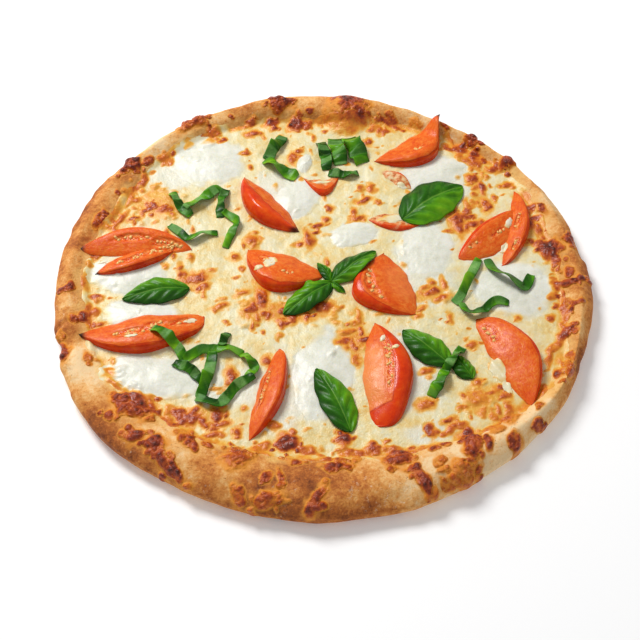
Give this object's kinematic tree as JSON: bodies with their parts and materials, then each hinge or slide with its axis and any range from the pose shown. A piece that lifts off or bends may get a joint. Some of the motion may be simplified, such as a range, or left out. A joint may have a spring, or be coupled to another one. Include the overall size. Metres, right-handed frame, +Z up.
{
  "type": "margherita pizza",
  "caption": "Round hand-stretched pizza with a puffed browned rim, melted cheese, pools of fresh mozzarella, tomato wedges and basil leaves and shreds.",
  "frame": {"origin": "on the surface the pizza rests on, under the middle of its crust", "axes": "+Z up out of the topped side, -Y towards the wide front stretch of the rim, +X to the right of it"},
  "size_m": [0.319, 0.3199, 0.0225],
  "materials": {
    "crust": "matt baked dough, browned in patches",
    "cheese": "soft sheen, melted cheese with browned blisters",
    "mozzarella": "milky satin",
    "tomato": "wet cut flesh and glossy skin",
    "basil": "satin leaf"
  },
  "bodies": {
    "root": {"crust": "crust", "cheese": "cheese", "mozzarella_1": "mozzarella", "mozzarella_2": "mozzarella", "mozzarella_3": "mozzarella", "mozzarella_4": "mozzarella", "mozzarella_5": "mozzarella", "mozzarella_6": "mozzarella", "mozzarella_7": "mozzarella", "mozzarella_8": "mozzarella", "mozzarella_9": "mozzarella", "mozzarella_10": "mozzarella", "mozzarella_11": "mozzarella", "tomato_1": "tomato", "tomato_2": "tomato", "tomato_3": "tomato", "tomato_4": "tomato", "tomato_5": "tomato", "tomato_6": "tomato", "tomato_7": "tomato", "tomato_8": "tomato", "tomato_9": "tomato", "tomato_10": "tomato", "tomato_11": "tomato", "tomato_12": "tomato", "tomato_13": "tomato", "basil_leaf_1": "basil", "basil_leaf_2": "basil", "basil_leaf_3": "basil", "basil_leaf_4": "basil", "basil_leaf_5": "basil", "basil_leaf_6": "basil", "basil_shred_1": "basil", "basil_shred_2": "basil", "basil_shred_3": "basil", "basil_shred_4": "basil", "basil_shred_5": "basil", "basil_shred_6": "basil", "basil_shred_7": "basil", "basil_shred_8": "basil", "basil_shred_9": "basil", "basil_shred_10": "basil", "basil_shred_11": "basil", "basil_shred_12": "basil", "basil_shred_13": "basil", "basil_shred_14": "basil", "basil_shred_15": "basil", "basil_shred_16": "basil", "basil_shred_17": "basil", "basil_shred_18": "basil", "basil_shred_19": "basil", "basil_shred_20": "basil", "basil_shred_21": "basil", "basil_shred_22": "basil", "basil_shred_23": "basil"}
  },
  "joints": []
}
